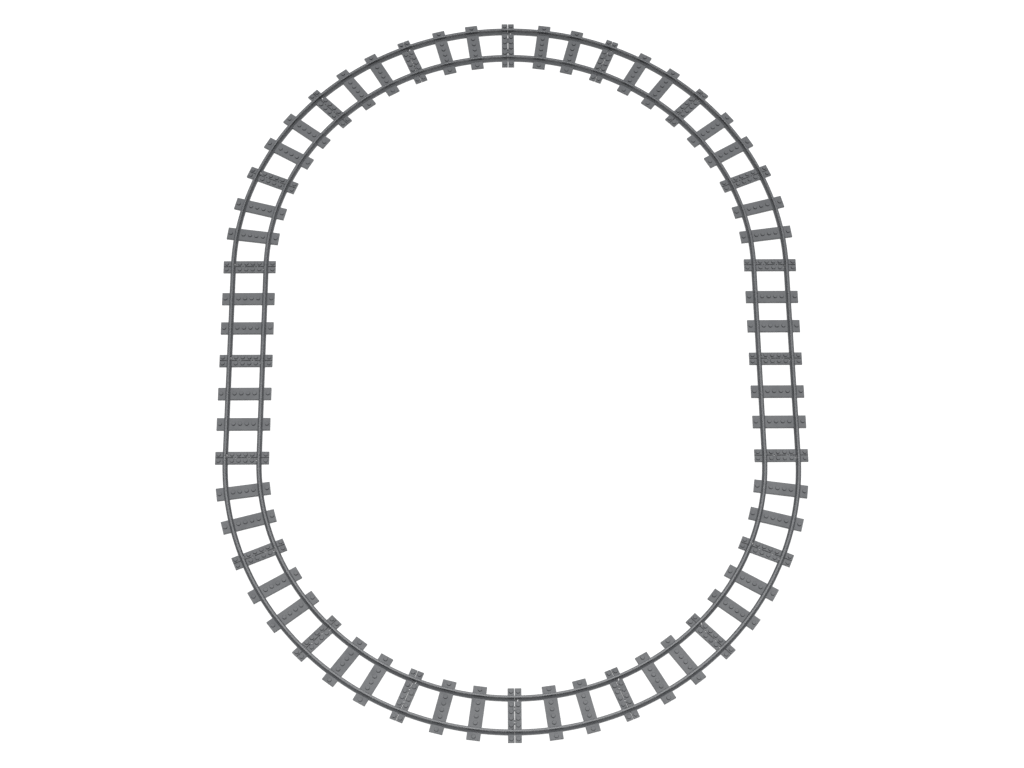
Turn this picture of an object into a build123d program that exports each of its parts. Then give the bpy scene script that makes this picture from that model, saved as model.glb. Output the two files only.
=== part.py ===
from build123d import *

import os
from math import hypot, radians, tan

# A closed oval of clip-together toy train track: four straight and sixteen curved plastic sections.
#
# Every section is one hollow moulding: two rails on two full sleepers, with a half sleeper at each end.
# Two half sleepers side by side make one full sleeper at a joint. Both ends of a section are alike: looking
# out of an end, a ring lug and a slot are on the right, and a ring socket and a hook are on the left, so any
# end fits any other and a section lifts straight up out of the loop.
#
# Millimetres, +Z up. The origin is at the centre of the oval, on the surface that it lies on, and +Y is its
# long axis.

# The building grid
STUD_PITCH = 8.0
STUD_DIAMETER = 4.8
STUD_HEIGHT = 1.7
GRID_GAP = 0.2  # left free between two things side by side on the grid

# The loop, in grid units, and the angle of one curved section
STRAIGHT_STUDS = 16
CURVE_RADIUS_STUDS = 40
STRAIGHTS_PER_SIDE = 2
CURVES_PER_HALF = 8
CURVE_ANGLE = 180.0 / CURVES_PER_HALF
STRAIGHT_LENGTH = STRAIGHT_STUDS * STUD_PITCH
CURVE_RADIUS = CURVE_RADIUS_STUDS * STUD_PITCH

# Sleepers, a little smaller than their whole number of grid units
SLEEPER_STUDS = 8
SLEEPER_LENGTH = SLEEPER_STUDS * STUD_PITCH - GRID_GAP
SLEEPER_WIDTH = 2 * (STUD_PITCH - GRID_GAP)
SLEEPER_HEIGHT = 3.2
JOINT_GAP = 0.4  # from the joint plane to the half sleeper, on each side
HALF_SLEEPER_WIDTH = SLEEPER_WIDTH / 2 - JOINT_GAP
SLEEPER_STATIONS = (5.5 / 16, 10.5 / 16)  # full sleepers, as shares of the section's length
WALL = 1.2
ROOF = 1.2
RIB = 1.0
CELL_HEIGHT = SLEEPER_HEIGHT - ROOF
STUD_FIT = 0.05  # round a stud, in a hollow that takes it from below
STUD_HOLLOW = STUD_DIAMETER + 2 * STUD_FIT
END_STUD_LINE = STUD_PITCH / 2  # from the joint plane to the half sleeper's studs

# Rails
RAIL_COLUMNS_APART = 5
RAIL_OFFSET = RAIL_COLUMNS_APART * STUD_PITCH / 2
RAIL_HEIGHT = 9.6
RAIL_END_GAP = 0.1  # from the joint plane to the rail's end
HEAD_WIDTH = 2.6
HEAD_DEPTH = 1.8
HEAD_SLOPE = 0.5
HEAD_ROUND = 0.4
WEB_WIDTH = 1.9
FOOT_SLOPE = 1.3
SKIRT = 0.65
FOOT_WIDTH = STUD_HOLLOW + 2 * SKIRT
FOOT_TOP = SLEEPER_HEIGHT + FOOT_SLOPE

# Studs stand in every column but the rails'
INNER_COLUMNS = RAIL_COLUMNS_APART - 1
STUD_COLUMNS = [
    (i - (SLEEPER_STUDS - 1) / 2) * STUD_PITCH
    for i in range(SLEEPER_STUDS)
    if abs(abs(i - (SLEEPER_STUDS - 1) / 2) * STUD_PITCH - RAIL_OFFSET) > STUD_PITCH / 4
]
# The ring lug and its socket lie on the joint plane, in the middle of four studs
FIT = 0.1
SOCKET_WALL = 0.5
LUG_OFFSET = STUD_PITCH
SOCKET_WALL_RADIUS = hypot(STUD_PITCH / 2, END_STUD_LINE) - STUD_HOLLOW / 2
SOCKET_RADIUS = SOCKET_WALL_RADIUS - SOCKET_WALL
LUG_RADIUS = SOCKET_RADIUS - FIT
LUG_HOLE_RADIUS = 0.9

# The hook runs beside the left rail's head, in the next section's slot, and its barb keeps the two together
HOOK_FIT = 0.2
HOOK_WIDTH = 1.2
HOOK_BOTTOM = STUD_HEIGHT + FIT  # clear of a stud below it
HOOK_REACH = 3.5  # past the joint plane, on the rail's side
TIP_SLANT = 1.0  # how much shorter it is on the barb's side
BARB = 0.9
BARB_START = 0.6  # from the joint plane
SLOT_WALL = 0.8
SLOT_SPARE = 1.1  # past the hook's tip
SLOT_TOP = FOOT_TOP + 0.1
HOOK_RAIL_SIDE = RAIL_OFFSET - HEAD_WIDTH / 2 - HOOK_FIT
HOOK_SIDE = HOOK_RAIL_SIDE - HOOK_WIDTH
BARB_SIDE = HOOK_SIDE - BARB
SLOT_RAIL_SIDE = HOOK_RAIL_SIDE + HOOK_FIT
SLOT_MOUTH_SIDE = HOOK_SIDE - HOOK_FIT
SLOT_SIDE = BARB_SIDE - HOOK_FIT
SLOT_DEPTH = HOOK_REACH + SLOT_SPARE
SLOT_SHOULDER = BARB_START - HOOK_FIT * tan(radians(45) / 2)
PIN_RADIUS = STUD_PITCH / 2 - STUD_DIAMETER / 2 - FIT

PAST = 1.0  # how far a cutter runs past what it cuts


def block(x0, x1, y0, y1, z0, z1):
    """A box between two corners."""
    return Pos((x0 + x1) / 2, (y0 + y1) / 2, (z0 + z1) / 2) * Box(x1 - x0, y1 - y0, z1 - z0)


def post(x, y, radius, z0, z1):
    """An upright cylinder."""
    return Pos(x, y, (z0 + z1) / 2) * Cylinder(radius, z1 - z0)


def prism(points, z0, z1):
    """An upright solid with this outline."""
    return Pos(0, 0, z0) * extrude(Polygon(*points, align=None), amount=z1 - z0, dir=(0, 0, 1))


class StraightPath:
    """The centre line from the origin along +Y."""

    length = STRAIGHT_LENGTH

    def at(self, share):
        return Pos(0, self.length * share, 0)

    def sweep(self, profile):
        return extrude(profile, amount=self.length, dir=(0, 1, 0))


class CurvePath:
    """The centre line from the origin along +Y, turning left."""

    angle = CURVE_ANGLE
    centre = Pos(-CURVE_RADIUS, 0, 0)

    def at(self, share):
        return self.centre * Rot(0, 0, self.angle * share) * Pos(CURVE_RADIUS, 0, 0)

    def sweep(self, profile):
        return revolve(profile, axis=Axis((-CURVE_RADIUS, 0, 0), (0, 0, 1)), revolution_arc=self.angle)


def rail_profile(offset):
    """The rail's outline across the track, with its middle at this offset."""
    half = [
        (FOOT_WIDTH / 2, 0),
        (FOOT_WIDTH / 2, SLEEPER_HEIGHT),
        (WEB_WIDTH / 2, FOOT_TOP),
        (WEB_WIDTH / 2, RAIL_HEIGHT - HEAD_DEPTH - HEAD_SLOPE),
        (HEAD_WIDTH / 2, RAIL_HEIGHT - HEAD_DEPTH),
        (HEAD_WIDTH / 2, RAIL_HEIGHT),
    ]
    outline = half + [(-x, z) for x, z in reversed(half)]
    face = Plane.XZ * Polygon(*[(x + offset, z) for x, z in outline], align=None)
    corners = face.vertices().filter_by(lambda v: abs(v.Z - RAIL_HEIGHT) < 1e-6)
    return fillet(corners, HEAD_ROUND)


def channel_profile(offset):
    """The hollow under a rail."""
    return Plane.XZ * Pos(offset, CELL_HEIGHT / 2) * Rectangle(STUD_HOLLOW, CELL_HEIGHT)


def cells(y0, y1):
    """The three hollows under a sleeper, between these two lines across it."""
    outer_end = SLEEPER_LENGTH / 2 - WALL
    inner_foot = RAIL_OFFSET - FOOT_WIDTH / 2
    outer_foot = RAIL_OFFSET + FOOT_WIDTH / 2
    spans = [(-outer_end, -outer_foot), (-inner_foot, inner_foot), (outer_foot, outer_end)]
    return [block(x0, x1, y0, y1, 0, CELL_HEIGHT) for x0, x1 in spans]


def studs(y):
    """One row of studs across a sleeper."""
    return [
        post(x, y, STUD_DIAMETER / 2, SLEEPER_HEIGHT - ROOF / 2, SLEEPER_HEIGHT + STUD_HEIGHT)
        for x in STUD_COLUMNS
    ]


def full_sleeper():
    """A full sleeper's plate, its hollows and what stands on and under the plate, about its own middle."""
    half_length, half_width = SLEEPER_LENGTH / 2, SLEEPER_WIDTH / 2
    plate = block(-half_length, half_length, -half_width, half_width, 0, SLEEPER_HEIGHT)
    hollow = half_width - WALL
    rib_end, rib_top = half_width - WALL / 2, SLEEPER_HEIGHT - ROOF / 2
    rib_columns = [i * STUD_PITCH for i in range(1 - INNER_COLUMNS // 2, INNER_COLUMNS // 2)]
    ribs = [block(x - RIB / 2, x + RIB / 2, -rib_end, rib_end, 0, rib_top) for x in rib_columns]
    return [plate], cells(-hollow, hollow), ribs + studs(0), []


def half_sleeper():
    """The same lists for a half sleeper, and its holes. The joint plane is at y 0, and +Y points out."""
    half_length = SLEEPER_LENGTH / 2
    near, far = -JOINT_GAP, -JOINT_GAP - HALF_SLEEPER_WIDTH
    hollow_near, hollow_far = STUD_HOLLOW / 2 - END_STUD_LINE, -STUD_HOLLOW / 2 - END_STUD_LINE
    plate = block(-half_length, half_length, far, near, 0, SLEEPER_HEIGHT)
    ring_wall = post(-LUG_OFFSET, 0, SOCKET_WALL_RADIUS, 0, SLEEPER_HEIGHT) & plate
    lug = post(LUG_OFFSET, 0, LUG_RADIUS, 0, SLEEPER_HEIGHT)
    hook_outline = [
        (-HOOK_RAIL_SIDE, hollow_near),
        (-HOOK_SIDE, hollow_near),
        (-HOOK_SIDE, BARB_START),
        (-BARB_SIDE, BARB_START + BARB),
        (-BARB_SIDE, HOOK_REACH - TIP_SLANT),
        (-HOOK_RAIL_SIDE, HOOK_REACH),
    ]
    slot_outline = [
        (SLOT_RAIL_SIDE, PAST),
        (SLOT_MOUTH_SIDE, PAST),
        (SLOT_MOUTH_SIDE, -SLOT_SHOULDER),
        (SLOT_SIDE, -SLOT_SHOULDER - BARB),
        (SLOT_SIDE, TIP_SLANT - SLOT_DEPTH),
        (SLOT_RAIL_SIDE, -SLOT_DEPTH),
    ]
    hook = prism(hook_outline, HOOK_BOTTOM, SLEEPER_HEIGHT)
    pin = post(0, -END_STUD_LINE, PIN_RADIUS, 0, SLEEPER_HEIGHT - ROOF / 2)
    inner_channel_side = RAIL_OFFSET - STUD_HOLLOW / 2
    slot_back = -SLOT_DEPTH - SLOT_WALL
    slot_wall = block(SLOT_SIDE - SLOT_WALL, inner_channel_side, slot_back, near, 0, SLEEPER_HEIGHT)
    holes = [
        post(LUG_OFFSET, 0, LUG_HOLE_RADIUS, -PAST, SLEEPER_HEIGHT + PAST),
        post(-LUG_OFFSET, 0, SOCKET_RADIUS, -PAST, SLEEPER_HEIGHT + PAST),
        prism(slot_outline, -PAST, SLOT_TOP),
    ]
    added = [ring_wall, lug, hook, pin, slot_wall] + studs(-END_STUD_LINE)
    return [plate], cells(hollow_far, hollow_near), added, holes


def section(path):
    """One track section along its centre line."""
    turn = Rot(0, 0, 180)
    placed = [(path.at(share), full_sleeper()) for share in SLEEPER_STATIONS]
    placed += [(path.at(1), half_sleeper()), (path.at(0) * turn, half_sleeper())]

    def gather(index):
        return [place * piece for place, lists in placed for piece in lists[index]]

    plates, hollows, added, holes = (gather(i) for i in range(4))
    offsets = (-RAIL_OFFSET, RAIL_OFFSET)
    rails = [path.sweep(rail_profile(x)) for x in offsets]
    end_trims = [
        place * block(-SLEEPER_LENGTH, SLEEPER_LENGTH, -RAIL_END_GAP, PAST, -PAST, RAIL_HEIGHT + PAST)
        for place in (path.at(1), path.at(0) * turn)
    ]
    rails = [rail - end_trims for rail in rails]
    channels = [path.sweep(channel_profile(x)) for x in offsets]
    body = plates[0].fuse(*plates[1:], *rails)
    body = body.cut(*hollows)
    body = body.fuse(*added)
    body = body.cut(*channels, *holes)
    solids = body.solids()
    assert len(solids) == 1, f"a section came out as {len(solids)} solids"
    return solids[0]


def loop():
    """Each section's name, its path and its place, going round the oval from the front of the right side."""
    straight, curve = StraightPath(), CurvePath()
    side = STRAIGHTS_PER_SIDE * STRAIGHT_LENGTH
    for half, (sides, ends) in enumerate((("right", "back"), ("left", "front"))):
        turn = Rot(0, 0, 180 * half)
        start = turn * Pos(CURVE_RADIUS, -side / 2, 0)
        for i in range(STRAIGHTS_PER_SIDE):
            yield f"straight_{sides}_{i + 1}", straight, start * straight.at(i)
        bend = start * straight.at(STRAIGHTS_PER_SIDE)
        for i in range(CURVES_PER_HALF):
            yield f"curve_{ends}_{i + 1}", curve, bend * curve.at(i)


def main():
    os.makedirs("parts", exist_ok=True)
    made = {}
    for name, path, place in loop():
        kind = type(path)
        if kind not in made:
            made[kind] = section(path)
        export_step(place * made[kind], f"parts/{name}.step")


main()
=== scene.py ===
"""The looks of a closed oval of clip-together toy train track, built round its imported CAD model."""

import math

import bpy
from bpy.props import FloatProperty, FloatVectorProperty, IntProperty, PointerProperty
import numpy as np
from mathutils import Matrix, Vector


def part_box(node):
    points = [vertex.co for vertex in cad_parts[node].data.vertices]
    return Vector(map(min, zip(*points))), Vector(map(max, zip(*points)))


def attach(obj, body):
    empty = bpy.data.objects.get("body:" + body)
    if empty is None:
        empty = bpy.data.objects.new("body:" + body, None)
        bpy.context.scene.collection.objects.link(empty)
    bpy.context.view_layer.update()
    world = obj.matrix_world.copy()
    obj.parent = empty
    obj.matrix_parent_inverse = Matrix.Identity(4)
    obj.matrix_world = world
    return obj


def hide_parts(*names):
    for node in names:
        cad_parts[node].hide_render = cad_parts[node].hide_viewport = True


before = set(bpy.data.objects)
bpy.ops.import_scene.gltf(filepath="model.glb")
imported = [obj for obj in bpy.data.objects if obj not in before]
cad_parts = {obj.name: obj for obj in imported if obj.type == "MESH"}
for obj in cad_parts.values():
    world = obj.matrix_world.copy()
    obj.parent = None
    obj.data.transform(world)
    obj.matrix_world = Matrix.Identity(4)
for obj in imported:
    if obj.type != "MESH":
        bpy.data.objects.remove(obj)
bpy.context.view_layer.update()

bl_info = {
    "name": "Toy Train Track",
    "version": (1, 0, 0),
    "blender": (4, 5, 0),
    "location": "3D View > Sidebar > Track",
    "description": "Makes the moulded sections of a toy train track and the stage that they lie on",
    "category": "Add Mesh",
}

MM = 0.001
PAST = 1 * MM  # how far a cutter runs past what it cuts
SLOT_PAST = 0.1 * MM  # how far a slot is cut above the rail's foot
SPAN = 50 * MM  # more than half a sleeper's length, for a cutter that must cover one
STATIONS = (5.5 / 16, 10.5 / 16)  # the full sleepers, as shares of a section's length
BARB_ANGLE = math.radians(45)
SHARP_ANGLE = math.radians(28)
PLACE_TOLERANCE = 0.06 * MM
STRAIGHT_TURN = 1e-5  # a turn too small to see, for the straight section's centre line
GOLDEN = 0.618  # spreads the sections' tones evenly between 0 and 1
CAMERA_REACH = 50  # metres


# Sizes and colours


def length(name, description, millimetres):
    """A length in metres, given in millimetres."""
    return FloatProperty(
        name=name, description=description, default=millimetres * MM, unit="LENGTH", precision=5
    )


class TrackSizes(bpy.types.PropertyGroup):
    """The sizes of the track sections."""

    stud_pitch: length("Stud pitch", "Distance between two studs of the building grid", 8)
    stud_diameter: length("Stud diameter", "Diameter of a round stud", 4.8)
    stud_height: length("Stud height", "Height of a stud above its sleeper", 1.7)
    stud_fit: length("Stud fit", "Room round a stud in a hollow that takes it from below", 0.05)
    stud_sides: IntProperty(name="Stud sides", description="Flat sides round a stud", default=24, min=8)
    straight_studs: IntProperty(
        name="Straight length", description="Length of a straight section in grid units", default=16
    )
    curve_studs: IntProperty(
        name="Curve radius", description="Radius of the curve's centre line in grid units", default=40
    )
    curve_angle: FloatProperty(
        name="Curve angle", description="Angle that a curved section turns through",
        default=math.radians(22.5), subtype="ANGLE",
    )
    curve_steps: IntProperty(name="Curve steps", description="Steps along a curved rail", default=24, min=4)
    straights_per_side: IntProperty(
        name="Straights per side", description="Straight sections along each side of the loop", default=2
    )
    sleeper_studs: IntProperty(
        name="Sleeper length", description="Length of a sleeper in grid units", default=8
    )
    grid_gap: length("Grid gap", "Left free between two things side by side on the grid", 0.2)
    joint_gap: length("Joint gap", "From a joint to its half sleeper, on each side", 0.4)
    sleeper_height: length("Sleeper height", "Height of a sleeper", 3.2)
    wall: length("Wall", "Thickness of a sleeper's walls and roof", 1.2)
    rib: length("Rib", "Thickness of the ribs under a sleeper", 1)
    rail_columns: IntProperty(
        name="Rail spacing", description="Distance between the two rails in grid units", default=5
    )
    rail_height: length("Rail height", "Height of the rail's top above the floor", 9.6)
    rail_end_gap: length("Rail end gap", "From a joint to the rail's end", 0.1)
    head_width: length("Head width", "Width of the rail's head", 2.6)
    head_depth: length("Head depth", "Depth of the rail's head", 1.8)
    head_slope: length("Head slope", "Height of the slope under the rail's head", 0.5)
    head_round: length("Head round", "Radius along the head's two top edges", 0.4)
    web_width: length("Web width", "Width of the rail between foot and head", 1.9)
    foot_slope: length("Foot slope", "Height of the slope on the rail's foot", 1.3)
    skirt: length("Skirt", "Thickness of the rail's two lower walls", 0.65)
    lug_hole: length("Lug hole", "Radius of the hole in a ring lug", 0.9)
    socket_wall: length("Socket wall", "Thickness of the wall round a ring socket", 0.5)
    fit: length("Fit", "Room round a lug in its socket", 0.1)
    hook_fit: length("Hook fit", "Room on each side of a hook", 0.2)
    hook_width: length("Hook width", "Width of a hook's neck", 1.2)
    hook_reach: length("Hook reach", "Length of a hook past the joint, on the rail's side", 3.5)
    tip_slant: length("Tip slant", "How much shorter a hook is on its barb's side", 1)
    barb: length("Barb", "How far a hook's barb stands out of its side", 0.9)
    barb_start: length("Barb start", "From the joint to a hook's barb", 0.6)
    slot_spare: length("Slot spare", "Length of a slot past the hook's tip", 1.1)
    slot_wall: length("Slot wall", "Thickness of the wall beside a slot", 0.8)
    edge: length("Edge", "Size of the chamfer round moulded edges", 0.22)


class TrackFinish(bpy.types.PropertyGroup):
    """The colours of the plastic."""

    colour: FloatVectorProperty(
        name="Plastic", description="Colour of the moulded plastic", default=(0.105, 0.11, 0.118),
        subtype="COLOR", min=0, max=1,
    )
    roughness: FloatProperty(
        name="Roughness", description="Roughness of the moulded surface", default=0.5,
        subtype="FACTOR", min=0, max=1,
    )
    polish: FloatProperty(
        name="Polish", description="Roughness of the rail tops where wheels run", default=0.3,
        subtype="FACTOR", min=0, max=1,
    )


class StageSettings(bpy.types.PropertyGroup):
    """The floor, the light and the camera."""

    floor_colour: FloatVectorProperty(
        name="Floor", description="Colour of the floor", default=(0.4, 0.4, 0.4),
        subtype="COLOR", min=0, max=1,
    )
    floor_glow: FloatProperty(
        name="Floor glow", description="Light from the floor, as on a light table", default=0.7
    )
    floor_size: FloatProperty(
        name="Floor size", description="Side of the floor", default=100, unit="LENGTH"
    )
    key_strength: FloatProperty(
        name="Key light", description="Strength of the light overhead", default=3.15
    )
    key_spread: FloatProperty(
        name="Key spread", description="Angular size of the light overhead", default=math.radians(50),
        subtype="ANGLE",
    )
    fill_strength: FloatProperty(
        name="Fill light", description="Strength of the light all round", default=0.15
    )
    camera_place: FloatVectorProperty(
        name="Camera place", description="Where the camera stands", default=(-0.0369, -1.3407, 2.7707),
        subtype="TRANSLATION",
    )
    camera_down: FloatProperty(
        name="Camera tilt", description="Angle that the camera looks down", default=math.radians(64.70),
        subtype="ANGLE",
    )
    camera_turn: FloatProperty(
        name="Camera turn", description="Angle from +Y towards +X that the camera looks",
        default=math.radians(1.651), subtype="ANGLE",
    )
    camera_roll: FloatProperty(
        name="Camera roll", description="Anticlockwise roll of the camera", default=math.radians(1.237),
        subtype="ANGLE",
    )
    lens: FloatProperty(
        name="Lens", description="Focal length on a 36 mm sensor", default=89.48, unit="CAMERA"
    )


# Node trees


def add_node(tree, kind, values=None, **settings):
    """A new node with these settings and input values. A value may be a node's socket, or a list of them."""
    node = tree.nodes.new(kind)
    for key, value in settings.items():
        setattr(node, key, value)
    for key, value in (values or {}).items():
        sources = value if isinstance(value, list) else [value]
        for source in sources:
            if isinstance(source, bpy.types.NodeSocket):
                tree.links.new(source, node.inputs[key])
            else:
                node.inputs[key].default_value = source
    return node


def math_node(tree, operation, *values):
    """The result of one sum on numbers or sockets."""
    return add_node(tree, "ShaderNodeMath", dict(enumerate(values)), operation=operation).outputs[0]


def position(tree):
    """Each point's own X, Y and Z."""
    place = tree.nodes.new("GeometryNodeInputPosition").outputs[0]
    return add_node(tree, "ShaderNodeSeparateXYZ", {0: place}).outputs


def new_tree(name, inputs):
    """A Geometry Nodes tree with these named inputs, as {name: socket type}, and its group input node."""
    tree = bpy.data.node_groups.new(name, "GeometryNodeTree")
    for label, kind in inputs.items():
        tree.interface.new_socket(label, in_out="INPUT", socket_type=kind)
    tree.interface.new_socket("Mesh", in_out="OUTPUT", socket_type="NodeSocketGeometry")
    return tree, tree.nodes.new("NodeGroupInput").outputs


def run_tree(name, tree, values):
    """The plain mesh that a tree makes from these input values."""
    carrier = bpy.data.objects.new(name, bpy.data.meshes.new(name))
    bpy.context.scene.collection.objects.link(carrier)
    modifier = carrier.modifiers.new(name, "NODES")
    modifier.node_group = tree
    for item in tree.interface.items_tree:
        if item.in_out == "INPUT":
            modifier[item.identifier] = values[item.name]
    depsgraph = bpy.context.evaluated_depsgraph_get()
    mesh = bpy.data.meshes.new_from_object(carrier.evaluated_get(depsgraph))
    carrier.modifiers.remove(modifier)
    bpy.data.objects.remove(carrier)
    return mesh


# Solid shapes as nodes


def move(tree, mesh, offset):
    """The mesh moved by a fixed offset."""
    values = {"Geometry": mesh, "Translation": offset}
    return add_node(tree, "GeometryNodeTransform", values).outputs[0]


def join(tree, meshes):
    """Meshes that don't touch, as one."""
    return add_node(tree, "GeometryNodeJoinGeometry", {"Geometry": meshes[::-1]}).outputs[0]


def fuse(tree, meshes):
    """The union of closed meshes."""
    values = {"Mesh 2": meshes}
    return add_node(tree, "GeometryNodeMeshBoolean", values, operation="UNION", solver="MANIFOLD").outputs[0]


def cut(tree, mesh, cutters):
    """A closed mesh less its cutters."""
    values = {"Mesh 1": mesh, "Mesh 2": cutters}
    settings = {"operation": "DIFFERENCE", "solver": "MANIFOLD"}
    return add_node(tree, "GeometryNodeMeshBoolean", values, **settings).outputs[0]


def block(tree, x0, x1, y0, y1, z0, z1):
    """A box between two corners."""
    cube = add_node(tree, "GeometryNodeMeshCube", {"Size": (x1 - x0, y1 - y0, z1 - z0)}).outputs[0]
    return move(tree, cube, ((x0 + x1) / 2, (y0 + y1) / 2, (z0 + z1) / 2))


def post(tree, x, y, radius, z0, z1, sides):
    """An upright cylinder."""
    values = {"Vertices": sides, "Radius": radius, "Depth": z1 - z0}
    return move(tree, add_node(tree, "GeometryNodeMeshCylinder", values).outputs[0], (x, y, (z0 + z1) / 2))


def prism(tree, outline, z0, z1):
    """An upright solid with an outline object's outline."""
    values = {"Start": (0, 0, z0), "End": (0, 0, z1)}
    line = add_node(tree, "GeometryNodeCurvePrimitiveLine", values).outputs[0]
    shape = add_node(tree, "GeometryNodeObjectInfo", {"Object": outline}).outputs["Geometry"]
    values = {"Curve": line, "Profile Curve": shape, "Fill Caps": True}
    return add_node(tree, "GeometryNodeCurveToMesh", values).outputs[0]


def raise_top(tree, mesh, top, edge, shrink_x, shrink_y):
    """The mesh with a chamfer on top: its top face, at this height, raised by the edge and drawn in."""
    is_top = math_node(tree, "GREATER_THAN", position(tree)[2], top - edge / 4)
    values = {"Mesh": mesh, "Selection": is_top, "Offset": (0, 0, 1), "Offset Scale": edge}
    raised = add_node(tree, "GeometryNodeExtrudeMesh", values)
    result = raised.outputs["Mesh"]
    for axis, scale in (((1, 0, 0), shrink_x), ((0, 1, 0), shrink_y)):
        values = {"Geometry": result, "Selection": raised.outputs["Top"], "Scale": scale, "Axis": axis}
        scaled = add_node(tree, "GeometryNodeScaleElements", values, scale_mode="SINGLE_AXIS")
        result = scaled.outputs[0]
    return result


def soft_block(tree, x0, x1, y0, y1, height, edge):
    """A box on the floor with a chamfer round its top."""
    low = block(tree, x0, x1, y0, y1, 0, height - edge)
    return raise_top(tree, low, height - edge, edge, 1 - 2 * edge / (x1 - x0), 1 - 2 * edge / (y1 - y0))


def soft_post(tree, x, y, radius, z0, z1, edge, sides):
    """An upright cylinder with a chamfer round its top."""
    low = post(tree, 0, 0, radius, z0, z1 - edge, sides)
    shrink = 1 - edge / radius
    return move(tree, raise_top(tree, low, z1 - edge, edge, shrink, shrink), (x, y, 0))


# The track section


class Section:
    """Every size of a track section, worked out from the panel's sizes."""

    def __init__(self, sizes):
        for name in sizes.__annotations__:
            setattr(self, name, getattr(sizes, name))
        pitch = self.stud_pitch
        self.straight_length = self.straight_studs * pitch
        self.curve_radius = self.curve_studs * pitch
        self.sleeper_length = self.sleeper_studs * pitch - self.grid_gap
        self.sleeper_width = 2 * (pitch - self.grid_gap)
        self.half_width = self.sleeper_width / 2 - self.joint_gap
        self.roof = self.sleeper_height - self.wall
        self.stud_hollow = self.stud_diameter + 2 * self.stud_fit
        self.end_stud_line = pitch / 2
        self.rail_offset = self.rail_columns * pitch / 2
        self.foot_width = self.stud_hollow + 2 * self.skirt
        self.foot_top = self.sleeper_height + self.foot_slope
        self.inner_columns = self.rail_columns - 1
        self.lug_offset = pitch
        self.socket_wall_radius = math.hypot(pitch / 2, self.end_stud_line) - self.stud_hollow / 2
        self.socket_radius = self.socket_wall_radius - self.socket_wall
        self.lug_radius = self.socket_radius - self.fit
        self.hook_bottom = self.stud_height + self.fit
        self.hook_rail_side = self.rail_offset - self.head_width / 2 - self.hook_fit
        self.hook_side = self.hook_rail_side - self.hook_width
        self.barb_side = self.hook_side - self.barb
        self.slot_rail_side = self.hook_rail_side + self.hook_fit
        self.slot_mouth_side = self.hook_side - self.hook_fit
        self.slot_side = self.barb_side - self.hook_fit
        self.slot_depth = self.hook_reach + self.slot_spare
        self.slot_shoulder = self.barb_start - self.hook_fit * math.tan(BARB_ANGLE / 2)
        self.slot_top = self.foot_top + SLOT_PAST
        self.hollow_near = self.stud_hollow / 2 - self.end_stud_line
        self.hollow_far = -self.stud_hollow / 2 - self.end_stud_line
        self.pin_radius = pitch / 2 - self.stud_diameter / 2 - self.fit


def arc_points(x, z, radius, start, end, steps=4):
    """Points of a round corner about a centre, from one angle to another in degrees."""
    turns = [math.radians(start + (end - start) * i / steps) for i in range(steps + 1)]
    return [(x + radius * math.cos(t), z + radius * math.sin(t)) for t in turns]


def rail_outline(s):
    """The rail's cross section about its own middle, as points across and up."""
    foot, web, head = s.foot_width / 2, s.web_width / 2, s.head_width / 2
    shoulder = s.rail_height - s.head_depth
    half = [(foot, 0), (foot, s.sleeper_height - s.edge), (foot - s.edge, s.sleeper_height + s.edge / 2)]
    half += [(web, s.foot_top), (web, shoulder - s.head_slope), (head, shoulder)]
    half += arc_points(head - s.head_round, s.rail_height - s.head_round, s.head_round, 0, 90)
    return half + [(-x, z) for x, z in reversed(half)]


def channel_outline(s):
    """The cross section of the hollow under a rail, and a little more below it."""
    half, roof = s.stud_hollow / 2, s.roof
    return [(half, -PAST), (half, roof), (-half, roof), (-half, -PAST)]


def upside_down(points):
    """An outline turned over, as a sweep along a level line turns it back."""
    return [(x, -z) for x, z in reversed(points)]


def hook_outline(s):
    """A hook seen from above, with the joint at y 0 and +Y out of the section."""
    tip = s.hook_reach - s.tip_slant
    outline = [(-s.hook_side, s.hollow_near), (-s.hook_side, s.barb_start)]
    outline += [(-s.barb_side, s.barb_start + s.barb), (-s.barb_side, tip)]
    return outline + [(-s.hook_rail_side, s.hook_reach), (-s.hook_rail_side, s.hollow_near)]


def slot_outline(s):
    """A slot seen from above, in the same way."""
    shoulder = s.slot_shoulder + s.barb
    outline = [(s.slot_rail_side, PAST), (s.slot_mouth_side, PAST), (s.slot_mouth_side, -s.slot_shoulder)]
    outline += [(s.slot_side, -shoulder), (s.slot_side, s.tip_slant - s.slot_depth)]
    return outline + [(s.slot_rail_side, -s.slot_depth)]


def outline_object(name, points):
    """A curve object that holds a closed outline, given anticlockwise."""
    curve = bpy.data.curves.new(name, "CURVE")
    spline = curve.splines.new("POLY")
    spline.points.add(len(points) - 1)
    for point, (x, y) in zip(spline.points, points):
        point.co = (x, y, 0, 1)
    spline.use_cyclic_u = True
    carrier = bpy.data.objects.new(name, curve)
    bpy.context.scene.collection.objects.link(carrier)
    return carrier


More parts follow.
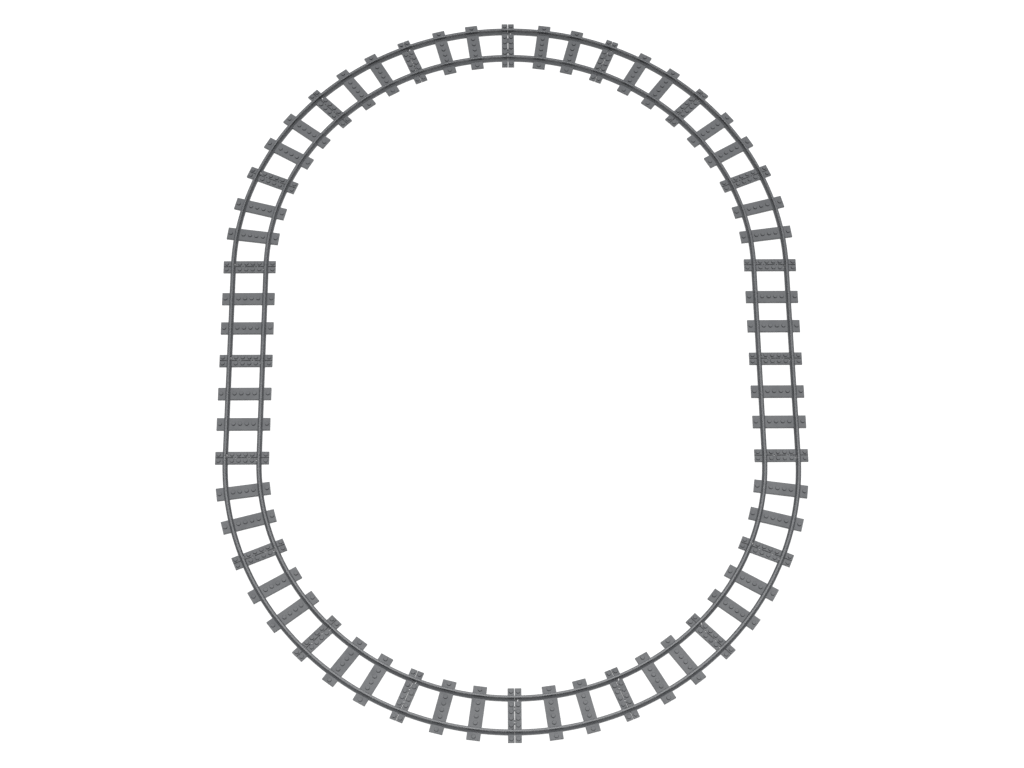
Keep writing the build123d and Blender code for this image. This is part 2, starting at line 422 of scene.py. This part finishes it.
class CentreLine:
    """A section's centre line from the origin along +Y, bent to the left by the turn."""

    def __init__(self, tree, run, turn, steps):
        self.tree, self.run, self.turn, self.steps = tree, run, turn, steps
        self.radius = math_node(tree, "DIVIDE", run, turn)

    def spot(self, share):
        """The place at a share of the way along, and how far the line has turned there."""
        tree = self.tree
        angle = math_node(tree, "MULTIPLY", self.turn, share)
        across = math_node(tree, "SUBTRACT", math_node(tree, "COSINE", angle), 1)
        x = math_node(tree, "MULTIPLY", self.radius, across)
        y = math_node(tree, "MULTIPLY", self.radius, math_node(tree, "SINE", angle))
        return add_node(tree, "ShaderNodeCombineXYZ", {"X": x, "Y": y}).outputs[0], angle

    def put(self, mesh, share, facing_back=False):
        """The mesh at a share of the way along, with its +Y along the line, or against it."""
        place, angle = self.spot(share)
        if facing_back:
            angle = math_node(self.tree, "ADD", angle, math.pi)
        turn = add_node(self.tree, "ShaderNodeCombineXYZ", {"Z": angle}).outputs[0]
        values = {"Geometry": mesh, "Translation": place, "Rotation": turn}
        return add_node(self.tree, "GeometryNodeTransform", values).outputs[0]

    def at_ends(self, mesh):
        """The mesh at both ends, with its +Y out of the section."""
        return join(self.tree, [self.put(mesh, 0, facing_back=True), self.put(mesh, 1)])

    def sweep(self, outline, offset, end_gap):
        """An outline object swept on both sides of the line, upside down, to this far from its ends."""
        tree = self.tree
        past = math_node(tree, "DIVIDE", PAST, self.run)
        before, after = math_node(tree, "MULTIPLY", past, -1), math_node(tree, "ADD", past, 1)
        start = add_node(tree, "ShaderNodeCombineXYZ", {"Y": before}).outputs[0]
        end = add_node(tree, "ShaderNodeCombineXYZ", {"Y": after}).outputs[0]
        line = add_node(tree, "GeometryNodeCurvePrimitiveLine", {"Start": start, "End": end}).outputs[0]
        count = math_node(tree, "ADD", self.steps, 1)
        line = add_node(tree, "GeometryNodeResampleCurve", {"Curve": line, "Count": count}).outputs[0]
        bent, _ = self.spot(position(tree)[1])
        line = add_node(tree, "GeometryNodeSetPosition", {"Geometry": line, "Position": bent}).outputs[0]
        line = add_node(tree, "GeometryNodeSetCurveNormal", {"Curve": line}, mode="Z_UP").outputs[0]
        flat = add_node(tree, "GeometryNodeObjectInfo", {"Object": outline}).outputs["Geometry"]
        sides = []
        for side in (-1, 1):
            shift = math_node(tree, "MULTIPLY", offset, side)
            shift = add_node(tree, "ShaderNodeCombineXYZ", {"X": shift}).outputs[0]
            values = {"Geometry": flat, "Translation": shift}
            profile = add_node(tree, "GeometryNodeTransform", values).outputs[0]
            values = {"Curve": line, "Profile Curve": profile, "Fill Caps": True}
            sides.append(add_node(tree, "GeometryNodeCurveToMesh", values).outputs[0])
        trim = block(tree, -SPAN, SPAN, -end_gap, 3 * PAST, -3 * PAST, SPAN)
        return cut(tree, join(tree, sides), [self.at_ends(trim)])


def stud_row(tree, s, given, y):
    """A row of studs across a sleeper, in every column but the rails'."""
    pitch, radius = given["Stud pitch"], given["Stud radius"]
    height = math_node(tree, "ADD", given["Stud height"], s.wall / 2)
    start = math_node(tree, "MULTIPLY", pitch, (1 - s.sleeper_studs) / 2)
    first = add_node(tree, "ShaderNodeCombineXYZ", {"X": start, "Y": y, "Z": s.roof + s.wall / 2}).outputs[0]
    step = add_node(tree, "ShaderNodeCombineXYZ", {"X": pitch}).outputs[0]
    values = {"Count": s.sleeper_studs, "Start Location": first, "Offset": step}
    line = add_node(tree, "GeometryNodeMeshLine", values).outputs[0]
    across = math_node(tree, "ABSOLUTE", position(tree)[0])
    off_rail = math_node(tree, "ABSOLUTE", math_node(tree, "SUBTRACT", across, given["Rail offset"]))
    on_rail = math_node(tree, "LESS_THAN", off_rail, s.stud_pitch / 4)
    values = {"Geometry": line, "Selection": on_rail}
    points = add_node(tree, "GeometryNodeDeleteGeometry", values).outputs[0]
    depth = math_node(tree, "SUBTRACT", height, s.edge)
    values = {"Vertices": s.stud_sides, "Radius": radius, "Depth": depth}
    stud = add_node(tree, "GeometryNodeMeshCylinder", values).outputs
    values = {"Mesh": stud["Mesh"], "Selection": stud["Top"], "Offset": (0, 0, 1), "Offset Scale": s.edge}
    raised = add_node(tree, "GeometryNodeExtrudeMesh", values).outputs
    shrink = math_node(tree, "SUBTRACT", 1, math_node(tree, "DIVIDE", s.edge, radius))
    values = {"Geometry": raised["Mesh"], "Selection": raised["Top"], "Scale": shrink}
    stud = add_node(tree, "GeometryNodeScaleElements", values).outputs[0]
    middle = math_node(tree, "MULTIPLY", height, 0.5)
    lift = add_node(tree, "ShaderNodeCombineXYZ", {"Z": middle}).outputs[0]
    stud = add_node(tree, "GeometryNodeTransform", {"Geometry": stud, "Translation": lift}).outputs[0]
    values = {"Points": points, "Instance": stud}
    return add_node(tree, "GeometryNodeInstanceOnPoints", values).outputs[0]


def cells(tree, s, y0, y1):
    """The three hollows under a sleeper, between these two lines across it."""
    outer_end = s.sleeper_length / 2 - s.wall
    inner_foot, outer_foot = s.rail_offset - s.foot_width / 2, s.rail_offset + s.foot_width / 2
    spans = [(-outer_end, -outer_foot), (-inner_foot, inner_foot), (outer_foot, outer_end)]
    return join(tree, [block(tree, x0, x1, y0, y1, -PAST, s.roof) for x0, x1 in spans])


def full_sleeper(tree, s):
    """A full sleeper without its studs, about its own middle."""
    half_length, half_width = s.sleeper_length / 2, s.sleeper_width / 2
    plate = soft_block(tree, -half_length, half_length, -half_width, half_width, s.sleeper_height, s.edge)
    tray = cut(tree, plate, [cells(tree, s, s.wall - half_width, half_width - s.wall)])
    rib_end, rib_top = half_width - s.wall / 2, s.roof + s.wall / 2
    columns = [i * s.stud_pitch for i in range(1 - s.inner_columns // 2, s.inner_columns // 2)]
    half_rib = s.rib / 2
    ribs = [block(tree, x - half_rib, x + half_rib, -rib_end, rib_end, 0, rib_top) for x in columns]
    return fuse(tree, [tray] + ribs)


def half_sleeper(tree, s, hook_shape):
    """A half sleeper without its studs, but with its lug, hook and walls. +Y is out, from the joint at 0."""
    half_length, top, sides = s.sleeper_length / 2, s.sleeper_height, s.stud_sides
    near, far = -s.joint_gap, -s.joint_gap - s.half_width
    plate = soft_block(tree, -half_length, half_length, far, near, top, s.edge)
    tray = cut(tree, plate, [cells(tree, s, s.hollow_far, s.hollow_near)])
    ring = post(tree, -s.lug_offset, 0, s.socket_wall_radius, 0, top, sides)
    ring_end = s.socket_wall_radius + PAST
    past_joint = block(tree, -half_length, half_length, near, ring_end, -PAST, top + PAST)
    ring = cut(tree, ring, [past_joint])
    lug = soft_post(tree, s.lug_offset, 0, s.lug_radius, 0, top, s.edge / 2, sides)
    pin = post(tree, 0, -s.end_stud_line, s.pin_radius, 0, s.roof + s.wall / 2, sides // 2)
    hook = prism(tree, hook_shape, s.hook_bottom, top - s.edge)
    shrink = (1 - 2 * s.edge / (s.hook_width + s.barb), 1 - s.edge / s.hook_reach)
    hook = raise_top(tree, hook, top - s.edge, s.edge, *shrink)
    wall_side, channel_side = s.slot_side - s.slot_wall, s.rail_offset - s.stud_hollow / 2
    slot_back = -s.slot_depth - s.slot_wall
    slot_wall = block(tree, wall_side, channel_side, slot_back, near - s.edge, 0, top - s.edge)
    return fuse(tree, [tray, ring, lug, pin, hook, slot_wall])


def end_holes(tree, s, slot_shape):
    """What is cut out of a section's end, in its half sleeper's frame."""
    top, sides = s.sleeper_height + PAST, s.stud_sides
    return [
        post(tree, s.lug_offset, 0, s.lug_hole, -PAST, top, sides // 2),
        post(tree, -s.lug_offset, 0, s.socket_radius, -PAST, top, sides),
        prism(tree, slot_shape, -PAST, s.slot_top),
    ]


def section_tree(s):
    """The tree that makes one track section."""
    sizes = ("Run", "Turn", "Rail offset", "Stud pitch", "Stud radius", "Stud height")
    outlines = ("Rail outline", "Channel outline", "Hook outline", "Slot outline")
    inputs = dict.fromkeys(sizes, "NodeSocketFloat") | {"Steps": "NodeSocketInt"}
    inputs |= dict.fromkeys(outlines, "NodeSocketObject") | {"Plastic": "NodeSocketMaterial"}
    tree, given = new_tree("Track section", inputs)
    line = CentreLine(tree, given["Run"], given["Turn"], given["Steps"])
    rails = line.sweep(given["Rail outline"], given["Rail offset"], s.rail_end_gap)
    channels = line.sweep(given["Channel outline"], given["Rail offset"], 0)
    full, half = full_sleeper(tree, s), half_sleeper(tree, s, given["Hook outline"])
    sleepers = join(tree, [line.put(full, share) for share in STATIONS] + [line.at_ends(half)])
    middle_row = stud_row(tree, s, given, 0)
    end_row = stud_row(tree, s, given, -s.end_stud_line)
    studs = join(tree, [line.put(middle_row, share) for share in STATIONS] + [line.at_ends(end_row)])
    studs = add_node(tree, "GeometryNodeRealizeInstances", {"Geometry": studs}).outputs[0]
    body = fuse(tree, [rails, sleepers, studs])
    holes = [line.at_ends(hole) for hole in end_holes(tree, s, given["Slot outline"])]
    body = cut(tree, body, [channels] + holes)
    whole = add_node(tree, "GeometryNodeRealizeInstances", {"Geometry": body}).outputs[0]
    values = {"Geometry": whole, "Material": given["Plastic"]}
    done = add_node(tree, "GeometryNodeSetMaterial", values).outputs[0]
    add_node(tree, "NodeGroupOutput", {0: done})
    return tree


def section_mesh(s, name, run, turn, steps, plastic):
    """The plain mesh of a section from the origin along +Y, whose UV map is across and along the track."""
    outlines = {
        "Rail outline": upside_down(rail_outline(s)), "Channel outline": upside_down(channel_outline(s)),
        "Hook outline": hook_outline(s), "Slot outline": slot_outline(s),
    }
    shapes = {label: outline_object(label, points) for label, points in outlines.items()}
    values = {
        "Run": run, "Turn": max(turn, STRAIGHT_TURN), "Steps": steps, "Rail offset": s.rail_offset,
        "Stud pitch": s.stud_pitch, "Stud radius": s.stud_diameter / 2, "Stud height": s.stud_height,
        "Plastic": plastic, **shapes,
    }
    mesh = run_tree(name, section_tree(s), values)
    for shape in shapes.values():
        bpy.data.objects.remove(shape)
    mesh.set_sharp_from_angle(angle=SHARP_ANGLE)
    centre = run / turn if turn else 0
    places = np.zeros(len(mesh.vertices) * 3)
    mesh.vertices.foreach_get("co", places)
    x, y = places.reshape(-1, 3)[:, 0], places.reshape(-1, 3)[:, 1]
    across = np.hypot(x + centre, y) - centre if turn else x
    along = np.arctan2(y, x + centre) * centre if turn else y
    corners = np.zeros(len(mesh.loops), dtype=int)
    mesh.loops.foreach_get("vertex_index", corners)
    layer = mesh.uv_layers.new(name="track")
    layer.data.foreach_set("uv", np.stack([across[corners], along[corners]], axis=-1).ravel())
    return mesh


def walk(s):
    """Each section's node name, kind and place, round the loop from the front of the right side."""
    per_half = round(math.pi / s.curve_angle)
    half_side = s.straights_per_side * s.straight_length / 2
    ahead = Matrix.Translation((0, s.straight_length, 0))
    centre = Matrix.Translation((-s.curve_radius, 0, 0))
    bend = centre @ Matrix.Rotation(s.curve_angle, 4, "Z") @ centre.inverted()
    for half, (side, end) in enumerate((("right", "back"), ("left", "front"))):
        corner = Matrix.Translation((s.curve_radius, -half_side, 0))
        place = Matrix.Rotation(math.pi * half, 4, "Z") @ corner
        for i in range(s.straights_per_side):
            yield f"straight_{side}_{i + 1}", "straight", place
            place = place @ ahead
        for i in range(per_half):
            yield f"curve_{end}_{i + 1}", "curve", place
            place = place @ bend


def lay_sections(context, kind):
    """Makes every section of this kind, each where its CAD node lies."""
    s = Section(context.scene.track_sizes)
    plastic = moulded_plastic(context.scene.track_finish)
    if kind == "straight":
        master = section_mesh(s, "Straight section", s.straight_length, 0, 1, plastic)
    else:
        run = s.curve_radius * s.curve_angle
        master = section_mesh(s, "Curved section", run, s.curve_angle, s.curve_steps, plastic)
    for number, (node, node_kind, place) in enumerate(walk(s)):
        if node_kind != kind:
            continue
        mesh = master.copy()
        mesh.transform(place)
        tone = mesh.attributes.new("tone", "FLOAT", "POINT")
        tone.data.foreach_set("value", [number * GOLDEN % 1] * len(mesh.vertices))
        piece = bpy.data.objects.new(f"{node}_moulding", mesh)
        context.scene.collection.objects.link(piece)
        check_place(piece, node)
        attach(piece, node)
        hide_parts(node)
    bpy.data.meshes.remove(master)


def check_place(piece, node):
    """Stops if a piece doesn't fill the box of its CAD node."""
    corners = [v.co for v in piece.data.vertices]
    for axis in range(3):
        low, high = min(c[axis] for c in corners), max(c[axis] for c in corners)
        for mine, theirs in ((low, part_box(node)[0][axis]), (high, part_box(node)[1][axis])):
            if abs(mine - theirs) > PLACE_TOLERANCE:
                raise RuntimeError(f"{piece.name} reaches {mine:.5f} where {node} reaches {theirs:.5f}")


# The plastic

NOISE_MIDDLE = (0.3, 0.7)  # where nearly all of a noise's values lie
FLOW_SCALE, FLOW_TONE = 22, 0.045  # the broad, faint marks of the plastic's flow
GRAIN_SCALE, GRAIN_TONE = 1500, 0.03  # the mould's fine grain
GRAIN_ROUGHNESS, GRAIN_STRENGTH, GRAIN_DEPTH = 0.03, 0.12, 0.03 * MM
SMUDGE_SCALE, SMUDGE_RANGE, SMUDGE_ROUGHNESS = 55, (0.42, 0.68), 0.05
SCRATCH_SCALE = (6000, 90, 1)  # across and along the track
SCRATCH_RANGE, SCRATCH_TONE, SCRATCH_STRENGTH, SCRATCH_DEPTH = (0.52, 0.72), 0.1, 0.12, 0.02 * MM
RAIL_TOP = (9.25 * MM, 9.5 * MM)  # heights between which the finish turns to the rail top's
SECTION_TONE = 0.02  # how much lighter or darker a section may be
PLASTIC_IOR = 1.53


def noise(tree, vector, scale, detail=2.0, roughness=0.5):
    """Smooth noise between about 0 and 1."""
    values = {"Vector": vector, "Scale": scale, "Detail": detail, "Roughness": roughness}
    return add_node(tree, "ShaderNodeTexNoise", values).outputs["Fac"]


def ramp(tree, value, span, low=0.0, high=1.0):
    """A value mapped smoothly from its own span to between low and high."""
    values = {"Value": value, "From Min": span[0], "From Max": span[1], "To Min": low, "To Max": high}
    node = add_node(tree, "ShaderNodeMapRange", values, interpolation_type="SMOOTHSTEP")
    return node.outputs["Result"]


def spread(tree, value, span, size):
    """A value mapped smoothly from its own span to this much either side of 0."""
    return ramp(tree, value, span, -size, size)


def tinted(tree, colour, bright):
    """A colour made lighter and darker over the surface."""
    paint = add_node(tree, "ShaderNodeRGB")
    paint.outputs[0].default_value = (*colour, 1)
    values = {0: paint.outputs[0], "Scale": bright}
    return add_node(tree, "ShaderNodeVectorMath", values, operation="SCALE").outputs[0]


def moulded_plastic(finish):
    """Dark grey moulded plastic, with a fine grain, flow marks, smudges and finely scratched rail tops."""
    material = bpy.data.materials.new("Moulded plastic")
    material.use_nodes = True
    tree = material.node_tree
    shader = tree.nodes["Principled BSDF"]
    place = tree.nodes.new("ShaderNodeTexCoord").outputs["Object"]
    height = add_node(tree, "ShaderNodeSeparateXYZ", {0: place}).outputs[2]
    along_track = add_node(tree, "ShaderNodeUVMap", uv_map="track").outputs[0]
    values = {"Vector": along_track, "Scale": SCRATCH_SCALE}
    stretch = add_node(tree, "ShaderNodeMapping", values).outputs[0]
    tone = add_node(tree, "ShaderNodeAttribute", attribute_name="tone").outputs["Fac"]

    rail_top = ramp(tree, height, RAIL_TOP)
    scratches = ramp(tree, noise(tree, stretch, 1, 3), SCRATCH_RANGE)
    flow = noise(tree, place, FLOW_SCALE, 3)
    grain = noise(tree, place, GRAIN_SCALE, 2)
    smudges = ramp(tree, noise(tree, place, SMUDGE_SCALE, 4, 0.6), SMUDGE_RANGE)

    marks = ramp(tree, flow, NOISE_MIDDLE, 1 - FLOW_TONE, 1 + FLOW_TONE)
    bright = math_node(tree, "ADD", marks, spread(tree, tone, (0, 1), SECTION_TONE))
    bright = math_node(tree, "ADD", bright, spread(tree, grain, NOISE_MIDDLE, GRAIN_TONE))
    worn = math_node(tree, "MULTIPLY", math_node(tree, "MULTIPLY", scratches, rail_top), SCRATCH_TONE)
    bright = math_node(tree, "ADD", bright, worn)
    tree.links.new(tinted(tree, finish.colour, bright), shader.inputs["Base Color"])

    satin = math_node(tree, "ADD", spread(tree, smudges, (0, 1), SMUDGE_ROUGHNESS), finish.roughness)
    satin = math_node(tree, "ADD", satin, spread(tree, grain, NOISE_MIDDLE, GRAIN_ROUGHNESS))
    values = {"Factor": rail_top, "A": satin, "B": finish.polish}
    rough = add_node(tree, "ShaderNodeMix", values, data_type="FLOAT")
    tree.links.new(rough.outputs[0], shader.inputs["Roughness"])

    values = {"Height": grain, "Strength": GRAIN_STRENGTH, "Distance": GRAIN_DEPTH}
    surface = add_node(tree, "ShaderNodeBump", values).outputs[0]
    strength = math_node(tree, "MULTIPLY", rail_top, SCRATCH_STRENGTH)
    values = {"Height": scratches, "Strength": strength, "Distance": SCRATCH_DEPTH, "Normal": surface}
    scored = add_node(tree, "ShaderNodeBump", values, invert=True)
    tree.links.new(scored.outputs[0], shader.inputs["Normal"])
    shader.inputs["IOR"].default_value = PLASTIC_IOR
    return material


# The stage

FLOOR_SCALE, FLOOR_TONE = 3, 0.01  # the floor's broad, faint unevenness
FLOOR_ROUGHNESS, FLOOR_SPECULAR = 0.9, 0.1


def plain_floor(settings):
    """A matt pale surface, lit evenly from below."""
    material = bpy.data.materials.new("Plain floor")
    material.use_nodes = True
    tree = material.node_tree
    shader = tree.nodes["Principled BSDF"]
    place = tree.nodes.new("ShaderNodeTexCoord").outputs["Object"]
    bright = ramp(tree, noise(tree, place, FLOOR_SCALE, 2), NOISE_MIDDLE, 1 - FLOOR_TONE, 1)
    tree.links.new(tinted(tree, settings.floor_colour, bright), shader.inputs["Base Color"])
    shader.inputs["Roughness"].default_value = FLOOR_ROUGHNESS
    shader.inputs["Specular IOR Level"].default_value = FLOOR_SPECULAR
    shader.inputs["Emission Color"].default_value = (1, 1, 1, 1)
    shader.inputs["Emission Strength"].default_value = settings.floor_glow
    return material


def set_stage(context):
    """The floor, the light overhead, the light all round and the camera."""
    settings, scene = context.scene.track_stage, context.scene
    half = settings.floor_size / 2
    mesh = bpy.data.meshes.new("Floor")
    corners = [(-half, -half, 0), (half, -half, 0), (half, half, 0), (-half, half, 0)]
    mesh.from_pydata(corners, [], [(0, 1, 2, 3)])
    mesh.materials.append(plain_floor(settings))
    floor = bpy.data.objects.new("Floor", mesh)
    scene.collection.objects.link(floor)

    world = bpy.data.worlds.new("Pale room")
    world.use_nodes = True
    background = world.node_tree.nodes["Background"]
    background.inputs["Color"].default_value = (1, 1, 1, 1)
    background.inputs["Strength"].default_value = settings.fill_strength
    scene.world = world

    key = bpy.data.lights.new("Overhead light", "SUN")
    key.energy = settings.key_strength
    key.angle = settings.key_spread
    lamp = bpy.data.objects.new("Overhead light", key)
    scene.collection.objects.link(lamp)

    down, turn, roll = settings.camera_down, settings.camera_turn, settings.camera_roll
    look = Vector((math.sin(turn) * math.cos(down), math.cos(turn) * math.cos(down), -math.sin(down)))
    right = Vector((math.cos(turn), -math.sin(turn), 0))
    up = right.cross(look)
    rolled_right = right * math.cos(roll) + up * math.sin(roll)
    rolled_up = up * math.cos(roll) - right * math.sin(roll)
    axes = Matrix((rolled_right, rolled_up, -look)).transposed().to_4x4()
    view = bpy.data.cameras.new("Camera")
    view.lens = settings.lens
    view.clip_end = CAMERA_REACH
    camera = bpy.data.objects.new("Camera", view)
    camera.matrix_world = Matrix.Translation(settings.camera_place) @ axes
    scene.collection.objects.link(camera)
    scene.camera = camera
    scene.view_settings.view_transform = "Standard"


# Operators and panel


class TRACK_OT_straights(bpy.types.Operator):
    """Make the straight track sections"""

    bl_idname = "track.straights"
    bl_label = "Straight sections"

    def execute(self, context):
        lay_sections(context, "straight")
        return {"FINISHED"}


class TRACK_OT_curves(bpy.types.Operator):
    """Make the curved track sections"""

    bl_idname = "track.curves"
    bl_label = "Curved sections"

    def execute(self, context):
        lay_sections(context, "curve")
        return {"FINISHED"}


class TRACK_OT_stage(bpy.types.Operator):
    """Make the floor, the lights and the camera"""

    bl_idname = "track.stage"
    bl_label = "Stage"

    def execute(self, context):
        set_stage(context)
        return {"FINISHED"}


OPERATORS = (TRACK_OT_stage, TRACK_OT_straights, TRACK_OT_curves)


class TRACK_PT_panel(bpy.types.Panel):
    """The track's makers and settings"""

    bl_idname = "TRACK_PT_panel"
    bl_label = "Toy Train Track"
    bl_space_type = "VIEW_3D"
    bl_region_type = "UI"
    bl_category = "Track"

    def draw(self, context):
        for operator in OPERATORS:
            self.layout.operator(operator.bl_idname)
        for group in (context.scene.track_sizes, context.scene.track_finish, context.scene.track_stage):
            box = self.layout.box()
            for name in group.__annotations__:
                box.prop(group, name)


CLASSES = (TrackSizes, TrackFinish, StageSettings, *OPERATORS, TRACK_PT_panel)


def register():
    for kind in CLASSES:
        bpy.utils.register_class(kind)
    bpy.types.Scene.track_sizes = PointerProperty(type=TrackSizes)
    bpy.types.Scene.track_finish = PointerProperty(type=TrackFinish)
    bpy.types.Scene.track_stage = PointerProperty(type=StageSettings)


def unregister():
    del bpy.types.Scene.track_stage
    del bpy.types.Scene.track_finish
    del bpy.types.Scene.track_sizes
    for kind in reversed(CLASSES):
        bpy.utils.unregister_class(kind)


def main():
    register()
    bpy.ops.track.stage()
    bpy.ops.track.straights()
    bpy.ops.track.curves()


if __name__ == "__main__":
    main()
